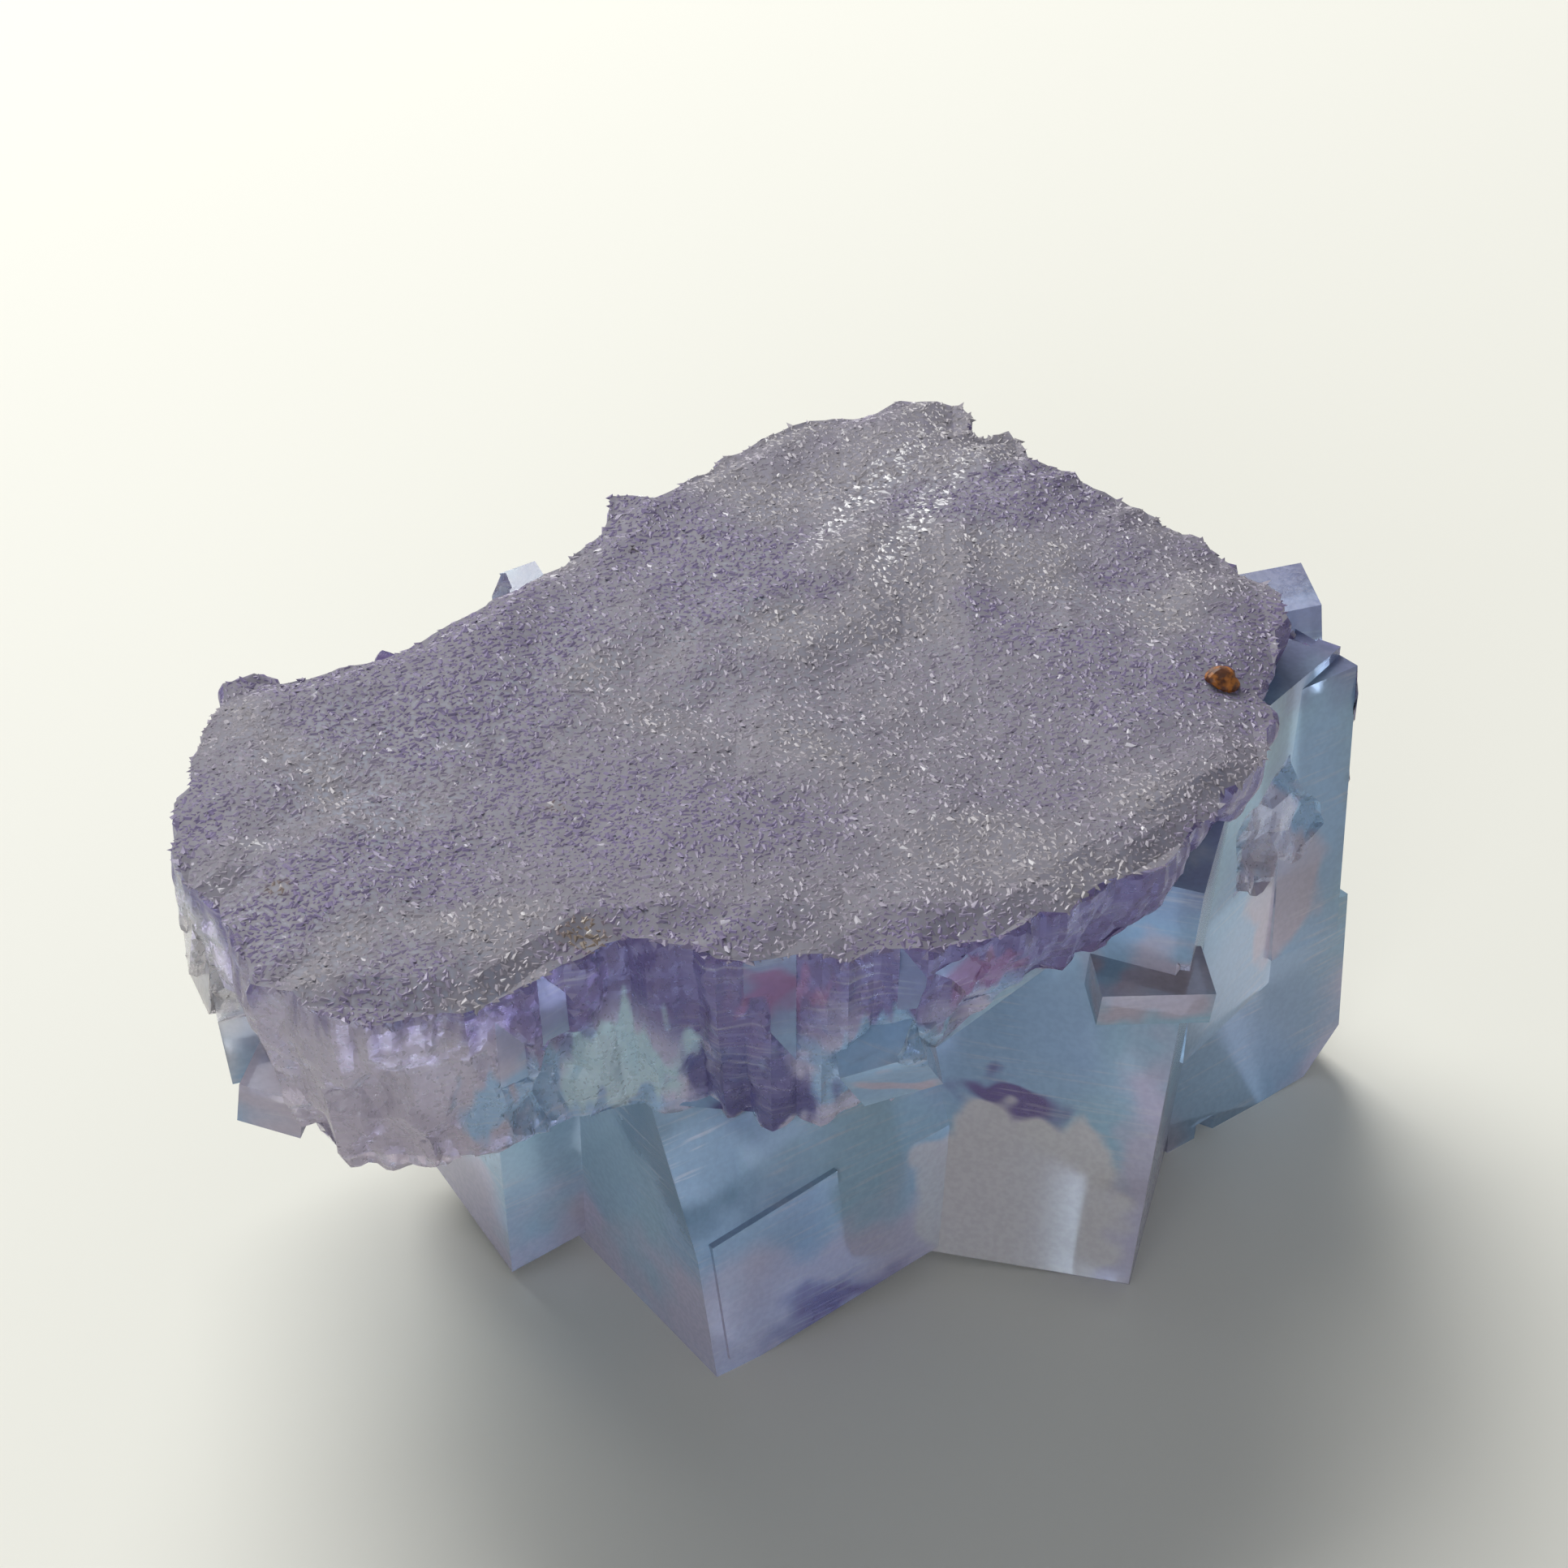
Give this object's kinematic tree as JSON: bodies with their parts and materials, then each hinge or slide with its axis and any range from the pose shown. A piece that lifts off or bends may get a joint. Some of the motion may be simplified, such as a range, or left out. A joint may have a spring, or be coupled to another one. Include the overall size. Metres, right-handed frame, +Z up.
{
  "type": "fluorite cube cluster",
  "caption": "Natural fluorite specimen: clear blue and violet cube crystals grown into each other under a flat, sugary violet crust.",
  "frame": {"origin": "bottom centre of the cluster's box, on the surface it stands on", "axes": "+Z up, the crust upwards; +Y away from the viewer of the picture; +X to the viewer's right"},
  "size_m": [0.0468, 0.0434, 0.0245],
  "materials": {
    "fluorite": "clear, glassy cube faces with blue and violet zones; finely sugary violet-grey crust on top"
  },
  "bodies": {
    "root": {"fluorite_cluster": "fluorite"}
  },
  "joints": []
}
